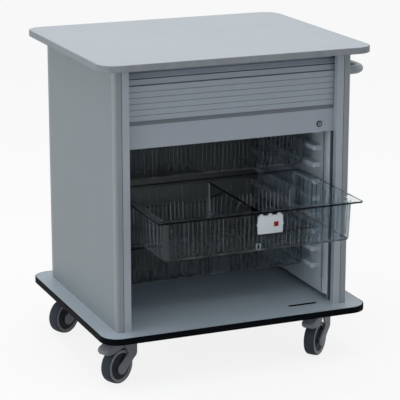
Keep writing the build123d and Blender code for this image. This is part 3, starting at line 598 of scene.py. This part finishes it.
# How near to a face, and with how sharp a turn in radians, an edge counts as one to round.
touch, sharp_turn = 0.0001, 0.8
trim_thickness, trim_gap, trim_reach, trim_lap = 0.0012, 0.0002, 0.0034, 0.0025
trim_proud, gap_shade_proud, gap_shade_width, trim_bed = 0.0008, 0.0003, 0.0105, 0.0002
trim_margin, trim_round = 0.002, 0.0002
for side, hand in ((-1, "left"), (1, "right")):
    low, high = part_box(f"{hand}_runner_ledges")
    pitch = (high.z - low.z - ledge_height) / (ledge_count - 1)
    ledge_inside, ledge_outside = sorted((abs(low.x), abs(high.x)))
    ledges = bmesh.new()
    block(ledges, low, (high.x, high.y, low.z + ledge_height))
    nose = [edge for edge in ledges.edges
            if all(vert.co.y < low.y + touch and abs(vert.co.x) < ledge_inside + touch
                   for vert in edge.verts)]
    rounded(ledges, nose, nose_round, segments=6)
    rims = [edge for edge in ledges.edges if edge.calc_face_angle(0) > sharp_turn
            and abs(edge.verts[0].co.z - edge.verts[1].co.z) < touch
            and min(abs(vert.co.x) for vert in edge.verts) < ledge_outside - touch]
    rounded(ledges, rims, ledge_round, segments=3, clamp=True)
    ledge = ledges.verts[:] + ledges.edges[:] + ledges.faces[:]
    for step in range(1, ledge_count):
        copied = bmesh.ops.duplicate(ledges, geom=ledge)["geom"]
        bmesh.ops.translate(ledges, vec=(0, 0, step * pitch), verts=only_verts(copied))
    piece(f"{hand}_tray_ledges", ledges, runner_grey, "cabinet", "runner_plastic",
          f"{hand}_runner_ledges")
    low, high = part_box(f"{hand}_runner_panel")
    lining_face, lining_front = min(abs(low.x), abs(high.x)), low.y
    trim_back = lining_front + trim_lap
    trim, gap_shade = bmesh.new(), bmesh.new()
    for shape, inner, outer, front, back in (
            (trim, guide_face - trim_gap - trim_thickness, guide_face - trim_gap,
             guide_back - trim_reach, lining_front),
            (trim, lining_face - trim_proud, lining_face + trim_bed, lining_front, trim_back),
            (gap_shade, lining_face - gap_shade_proud, lining_face + trim_bed, trim_back, trim_back + gap_shade_width)):
        left, right = to_side(side, inner, outer)
        tile(shape, (left, front, low.z + trim_margin), (right, back, high.z - trim_margin), trim_round)
    piece(f"{hand}_runner_trim_painted_light", trim, pale_trim_painted_light, "cabinet", "runner_plastic")
    piece(f"{hand}_runner_gap_shade", gap_shade, gap_shade_grey, "cabinet", "runner_plastic")


# Roller shutter: plastic slats hung edge to edge, a wide coated bottom rail with plastic glides in
# the guides, and a key lock whose hook turns down into the slot in the base.
def extruded(name, colour):
    """Extruded plastic: faint lines along the slat and a soft sheen."""
    finish = plain_finish(name, colour, roughness=0.44)
    lines = speckle(finish, scale=26, stretch=(1, 40, 40), detail=3)
    cloud = speckle(finish, scale=9, detail=3)
    tint(finish, colour, spread(finish, lines, 0.965, 1.025), spread(finish, cloud, 0.975, 1.02))
    gloss(finish, lines, 0.38, 0.50)
    relief(finish, lines, height=0.00012, strength=0.5)
    return finish


def drawn_out(shape, face, way):
    """Draws a flat face out into a plate."""
    grown = bmesh.ops.extrude_face_region(shape, geom=[face])["geom"]
    bmesh.ops.translate(shape, vec=way, verts=only_verts(grown))
    bmesh.ops.recalc_face_normals(shape, faces=shape.faces[:])


slat_grey = extruded("shutter_plastic", paint(162, 170, 180))
rail_grey = coated("shutter_rail", paint(160, 167, 177))
# Painted shade: a darker grey for a strip on the rail's sloped top, standing in for the shadow line between
# the slats and the rail.
rail_shade_grey = moulded("rail_painted_shade", paint(104, 109, 117))
lock_metal = bare_metal("lock_metal", paint(118, 120, 124), roughness=0.40)
collar_grey = moulded("lock_collar", paint(46, 49, 52), shine=0.2)
dress(slat_grey, "upper_slats", "lower_slats", "fixed_slats", "track_slats")
dress(rail_grey, "shutter_rail")
dress(track_black, "rail_end_glides")
dress(steel, "lock_cam")
dress(lock_metal, "lock_core")
rail_low, rail_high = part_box("shutter_rail")
rail_front, rail_top = rail_low.y, rail_high.z
collar_outline = [(0.00605, 0.0115), (0.00605, -0.0014), (0.0066, -0.0020), (0.0074, -0.0020),
                  (0.0084, -0.0016), (0.0090, -0.0008), (0.0090, 0.0), (0.0080, 0.0), (0.0080, 0.0115)]
lock = pivots["lock_turn"]
collar = bmesh.new()
turned(collar, collar_outline, (lock.x, rail_front, lock.z), along_y, along_z, steps=48)
piece("lock_collar", collar, collar_grey, "shutter_rail", "lock_metal", "lock_housing")
# The strip on the rail's sloped top is painted shade: a thin plate in darker grey where a shadow line falls.
slope_height, slope_depth, rail_shade_thickness, rail_shade_gap = 0.009, 0.003, 0.0003, 0.002
rail_shade_half = guide_face - rail_shade_gap
slope_shade = bmesh.new()
slope = slope_shade.faces.new([slope_shade.verts.new(point) for point in (
    (-rail_shade_half, rail_front, rail_top - slope_height),
    (rail_shade_half, rail_front, rail_top - slope_height),
    (rail_shade_half, rail_front + slope_depth, rail_top),
    (-rail_shade_half, rail_front + slope_depth, rail_top))])
slope_shade.normal_update()
drawn_out(slope_shade, slope, slope.normal * math.copysign(rail_shade_thickness, -slope.normal.y))
piece("rail_painted_shade", slope_shade, rail_shade_grey, "shutter_rail", "shutter_rail")


# Trays: clear moulded tubs with fine upright ribs, and a wide rim whose edge turns down. They hang
# by the rim on the ledges. The middle one has a clear divider clipped across it.
def clear(name, colour, roughness, bend, share):
    """Clear plastic: share of it see-through, with slight unevenness in its gloss."""
    finish = plain_finish(name, colour, roughness, IOR=bend, Transmission_Weight=share)
    haze = speckle(finish, scale=30, detail=4)
    gloss(finish, haze, roughness * 0.6, roughness * 1.8)
    return finish


def streaked(name, colour, roughness, bend, share, dull):
    """Clear plastic as the ribs show it, dulled along upright streaks."""
    finish = clear(name, colour, roughness, bend, share)
    streak = speckle(finish, scale=45, stretch=(1, 1, 0.02), detail=2)
    tint(finish, colour, spread(finish, streak, dull, 1.12, start=0.45, end=0.72))
    return finish


clear_plastic = clear("clear_plastic", paint(230, 236, 239), roughness=0.04, bend=1.04, share=0.992)
clear_sheet = clear("clear_plastic_sheet", paint(236, 241, 243), roughness=0.03, bend=1.05, share=1.0)
# Painted shade: a near-black clear finish for the rims' left, front and back edges and the divider's top
# bead, standing in for the shade seen in those clear edges.
painted_dark_edge = clear("clear_plastic_painted_dark_edge", paint(12, 14, 16), roughness=0.10, bend=1.10, share=1.0)
frosted = clear("clear_plastic_frost", paint(222, 228, 232), roughness=0.30, bend=1.10, share=0.55)
# The rib finish also gives the right rim edge a painted highlight, lighter than the other rim edges.
rib_crest_and_rim_highlight = streaked("clear_plastic_rib_and_rim_highlight", paint(214, 221, 224), roughness=0.10, bend=1.05, share=0.86,
                     dull=0.45)
# Painted light: paler, less clear ribs on the lower half of each back wall stand in for the light that falls
# there below the rail's shadow.
painted_light_ribs = streaked("clear_plastic_painted_light", paint(226, 230, 232), roughness=0.16, bend=1.08, share=0.45,
                     dull=0.30)
tray_finishes = (clear_plastic, painted_dark_edge, rib_crest_and_rim_highlight, painted_light_ribs)
rim_corner, rim_skirt, rim_edge, corner_zone = 0.012, 0.004, 0.003, 0.036
rib_steps, ribs_across, ribs_along, rib_depth, tray_wall = 10, 42, 12, 0.0005, 0.0022
rib_top, rib_middle, rib_foot, foot_round = -0.0090, -0.0530, -0.1030, -0.1090
# From the rim's outer edge down to the floor: inset from the rim's outline, level, whether ribbed.
tray_rows = (
    (0, -0.0010, False), (0.0006, -0.0003, False), (0.0016, 0, False), (0.0228, 0, False),
    (0.0244, -0.0006, False), (0.0251, -0.0022, False), (0.0255, -0.0075, False),
    (0.0256, rib_top, True), (0.0272, rib_middle, True), (0.0289, rib_foot, True),
    (0.0290, -0.1048, False), (0.0294, foot_round, False), (0.0308, -0.1116, False),
    (0.0335, -0.1128, False))


def ribbed_tray(tray):
    """One tray: its rim's outline is drawn down row by row into ribbed walls, floored, and thickened."""
    low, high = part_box(tray)
    half_width, half_depth = (high.x - low.x) / 2, (high.y - low.y) / 2
    middle, rim = (low.y + high.y) / 2, high.z
    shape = bmesh.new()
    square = [shape.verts.new((x * half_width, middle + y * half_depth, rim - rim_skirt))
              for x, y in ((-1, -1), (1, -1), (1, 1), (-1, 1))]
    shape.faces.new(square)
    rounded(shape, square, rim_corner, segments=8, affect="VERTICES")
    for edge in [edge for edge in shape.edges if edge.calc_length() > half_depth]:
        lies_across = abs(edge.verts[0].co.x - edge.verts[1].co.x) > half_depth
        ribs = ribs_across if lies_across else ribs_along
        bmesh.ops.subdivide_edges(shape, edges=[edge], cuts=rib_steps * ribs - 1)
    bmesh.ops.delete(shape, geom=shape.faces[:], context="FACES_ONLY")
    loop = shape.edges[:]
    crests = set()
    last_x, last_y, last_level = half_width, half_depth, -rim_skirt
    for inset, level, ribbed in tray_rows:
        half_x, half_y = half_width - inset, half_depth - inset
        grown = bmesh.ops.extrude_edge_only(shape, edges=loop)["geom"]
        verts = set(only_verts(grown))
        loop = [edge for edge in grown if isinstance(edge, bmesh.types.BMEdge)
                and edge.verts[0] in verts and edge.verts[1] in verts]
        bmesh.ops.scale(shape, vec=(half_x / last_x, half_y / last_y, 1), verts=list(verts),
                        space=Matrix.Translation((0, -middle, 0)))
        bmesh.ops.translate(shape, vec=(0, 0, level - last_level), verts=list(verts))
        last_x, last_y, last_level = half_x, half_y, level
        if ribbed:
            straight_x = (half_width - rim_corner) * half_x / half_width
            straight_y = (half_depth - rim_corner) * half_y / half_depth
            for vert in verts:
                x, y = vert.co.x, vert.co.y - middle
                every = 1
                if abs(x) < straight_x:
                    step = round((x + straight_x) / (2 * straight_x) * rib_steps * ribs_across)
                    lean = Vector((0, -math.copysign(rib_depth, y), 0))
                    if y > 0 and level > rib_middle:
                        every = 2
                elif abs(y) < straight_y:
                    step = round((y + straight_y) / (2 * straight_y) * rib_steps * ribs_along)
                    lean = Vector((-math.copysign(rib_depth, x), 0, 0))
                else:
                    continue
                if step % rib_steps == rib_steps // 2 and step // rib_steps % every == 0:
                    vert.co += lean
                    crests.add(vert)
    for face in shape.faces:
        centre = face.calc_center_median() - Vector((0, middle, rim))
        reach_x = max(abs(vert.co.x) for vert in face.verts)
        reach_y = max(abs(vert.co.y - middle) for vert in face.verts)
        in_corner = reach_x > half_width - corner_zone and reach_y > half_depth - corner_zone
        on_crest = sum(vert in crests for vert in face.verts) > 1
        finish = clear_plastic
        # The right rim edge is painted lighter as a painted highlight, and the other rim edges darker as
        # painted shade.
        if centre.x > half_width - rim_edge:
            finish = rib_crest_and_rim_highlight
        elif -centre.x > half_width - rim_edge or abs(centre.y) > half_depth - rim_edge:
            finish = painted_dark_edge
        # Ribs on the lower half of the back wall get the painted light finish.
        elif on_crest and centre.y > half_depth - corner_zone and centre.z < rib_middle:
            finish = painted_light_ribs
        elif on_crest or in_corner and centre.z < rib_top or centre.z < foot_round:
            finish = rib_crest_and_rim_highlight
        face.material_index = tray_finishes.index(finish)
    floor_face = bmesh.ops.edgeloop_fill(shape, edges=loop)["faces"][0]
    bmesh.ops.recalc_face_normals(shape, faces=shape.faces[:])
    shape.normal_update()
    if floor_face.normal.z < 0:
        bmesh.ops.reverse_faces(shape, faces=shape.faces[:])
    tub = piece(f"{tray}_tub", shape, clear_plastic, tray, "clear_plastic", tray, sharp=30)
    for finish in tray_finishes[1:]:
        tub.data.materials.append(finish)
    thick = tub.modifiers.new("wall", "SOLIDIFY")
    thick.thickness = tray_wall
    thick.offset = -1


for tray in ("top_tray", "middle_tray", "bottom_tray"):
    ribbed_tray(tray)

divider_low, divider_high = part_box("tray_divider")
tray_middle, divider_top = (divider_low.y + divider_high.y) / 2, divider_high.z
foot_gap, bead_height, sheet_round = 0.0003, 0.0030, 0.0006
divider_foot, bead_foot = divider_low.z + foot_gap, divider_top - bead_height
foot_reach, sheet_reach, bead_reach = 0.1700, 0.1738, 0.1739
# The bead along the divider's top is painted dark: painted shade along the clear sheet's edge.
for name, finish, half, (low_reach, low), (top_reach, top), solids in (
        ("divider_plate", clear_sheet, 0.0010, (foot_reach, divider_foot), (sheet_reach, bead_foot),
         ["tray_divider"]),
        ("divider_bead", painted_dark_edge, 0.0015, (sheet_reach, bead_foot), (bead_reach, divider_top), [])):
    shape = bmesh.new()
    sheet = shape.faces.new([shape.verts.new((-half, tray_middle + y, z)) for y, z in (
        (-low_reach, low), (low_reach, low), (top_reach, top), (-top_reach, top))])
    drawn_out(shape, sheet, (2 * half, 0, 0))
    rounded(shape, shape.edges[:], sheet_round, segments=2)
    piece(name, shape, finish, "middle_tray", "clear_plastic", *solids)
clip_half, clip_height, clip_wall, clip_round = 0.0060, 0.016, 0.0012, 0.0003
clip_near, clip_far = 0.1620, 0.1698
spine_half, spine_depth, spine_start, spine_stop, spine_round = 0.0013, 0.0016, 0.020, 0.004, 0.0004
clip_top = divider_foot + clip_height
clips = bmesh.new()
for end in (-1, 1):
    near, far = (tray_middle + place for place in to_side(end, clip_near, clip_far))
    for left, right, foot, top in (
            (-clip_half, clip_wall - clip_half, divider_foot, clip_top),
            (clip_half - clip_wall, clip_half, divider_foot, clip_top),
            (-clip_half, clip_half, clip_top - clip_wall, clip_top),
            (-clip_half, clip_half, divider_foot, divider_foot + clip_wall)):
        tile(clips, (left, near, foot), (right, far, top), clip_round)
spine_front = tray_middle + foot_reach
tile(clips, (-spine_half, spine_front, divider_foot + spine_start),
     (spine_half, spine_front + spine_depth, divider_top - spine_stop), spine_round)
piece("divider_clips", clips, frosted, "middle_tray", "clear_plastic")


# Label holder and marker: a white moulded holder hung by three prongs under the middle tray's
# front rim, with a blank card in it and a small red tile stuck on the card.
def glossy(name, colour, shine=0.5):
    """Glossy moulding, faintly uneven in patches."""
    finish = plain_finish(name, colour, roughness=0.32, Specular_IOR_Level=shine)
    patch = speckle(finish, scale=60, detail=3)
    tint(finish, colour, spread(finish, patch, 0.97, 1.01))
    gloss(finish, patch, 0.26, 0.38)
    return finish


def card(name, colour):
    """Blank card with a short fibre."""
    finish = plain_finish(name, colour, roughness=0.80)
    fibre = speckle(finish, scale=700, stretch=(1, 1, 4), detail=4)
    tint(finish, colour, spread(finish, fibre, 0.95, 1.01))
    relief(finish, fibre, height=0.00008, strength=0.5)
    return finish


label_white = glossy("label_white", paint(216, 224, 230))
label_card = card("label_card", paint(222, 229, 232))
marker_red = glossy("marker_red", paint(146, 14, 10), shine=0.15)
holder_low, holder_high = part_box("label_holder")
label_front, label_back, label_foot = holder_low.y, holder_high.y, holder_low.z
# The label hangs a little further left than its solid, as in the photograph.
label_shift, label_half, prong_height = 0.002, 0.0365, 0.006
label_middle, label_top = (holder_low.x + holder_high.x) / 2 - label_shift, holder_high.z - prong_height
label_left, label_right = label_middle - label_half, label_middle + label_half
plate_set_back, bar_width, bar_depth = 0.0006, 0.003, 0.0012
plate_round, bar_round, prong_round = 0.0010, 0.0005, 0.0007
holder = bmesh.new()
tile(holder, (label_left, label_front + plate_set_back, label_foot), (label_right, label_back, label_top),
     plate_round)
for left, right, foot, top in (
        (label_left, label_right, label_top - bar_width, label_top),
        (label_left, label_right, label_foot, label_foot + bar_width),
        (label_left, label_left + bar_width, label_foot, label_top),
        (label_right - bar_width, label_right, label_foot, label_top)):
    tile(holder, (left, label_front, foot), (right, label_front + bar_depth, top), bar_round)
ear_radius, ear_thickness, ear_inset, ear_set_in = 0.006, 0.0026, 0.0035, 0.0014
for x in (label_left + ear_inset, label_right - ear_inset):
    peg(holder, (x, label_back - ear_set_in, (label_foot + label_top) / 2), ear_radius, ear_thickness)
prong_pitch, prong_half, prong_lap = 0.026, 0.005, 0.002
for step in (-1, 0, 1):
    x = label_middle + step * prong_pitch
    tile(holder, (x - prong_half, label_front + plate_set_back, label_top - prong_lap),
         (x + prong_half, label_back, holder_high.z), prong_round)
piece("label_frame", holder, label_white, "middle_tray", "label_white", "label_holder")
card_inset, card_front, card_back, card_round = 0.0032, 0.0001, 0.0008, 0.0002
slip = bmesh.new()
tile(slip, (label_left + card_inset, label_front + card_front, label_foot + card_inset),
     (label_right - card_inset, label_front + card_back, label_top - card_inset), card_round)
piece("label_slip", slip, label_card, "middle_tray", "label_white")
marker_low, marker_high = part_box("marker_tab")
marker_bed, marker_round = 0.0002, 0.0004
marker = bmesh.new()
tile(marker, (marker_low.x - label_shift, marker_low.y, marker_low.z),
     (marker_high.x - label_shift, marker_high.y + marker_bed, marker_high.z), marker_round)
piece("marker_tile", marker, marker_red, "middle_tray", "marker_red", "marker_tab")


# Worktop: the same laminate on a board that overhangs the cabinet all round, with rounded corners
# and a grey plastic band round its edge. It lies on the carcass and closes it at the top.
worktop_laminate = laminate("worktop_laminate", paint(175, 183, 190))
grey_band = band("edge_grey", paint(140, 146, 151), shine=0.4)
dress(worktop_laminate, "worktop")
dress(grey_band, "worktop_edge_band")


# Push handle: a coated steel tube bent round at both ends, on the right side just under the
# worktop. Each end sits in a dished flange that two screws hold to the side board.
handle_coat = coated("handle_coating", paint(154, 160, 166))
dress(handle_coat, "push_handle")
dress(steel, "handle_screws")
handle_low, handle_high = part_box("push_handle")
handle_level, handle_half_span = (handle_low.z + handle_high.z) / 2, 0.225
side_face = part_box("right_side_panel")[1].x
dish_outline = [(0.0127, 0.0), (0.0240, 0.0), (0.0240, 0.0022), (0.0232, 0.0036), (0.0216, 0.0046),
                (0.0185, 0.0056), (0.0155, 0.0060), (0.0136, 0.0060), (0.0127, 0.0056)]
dishes = bmesh.new()
for side in (-1, 1):
    turned(dishes, dish_outline, (side_face, side * handle_half_span, handle_level), along_x, along_z,
           steps=64)
piece("handle_dishes", dishes, handle_coat, "cabinet", "handle_coating", "handle_flanges")
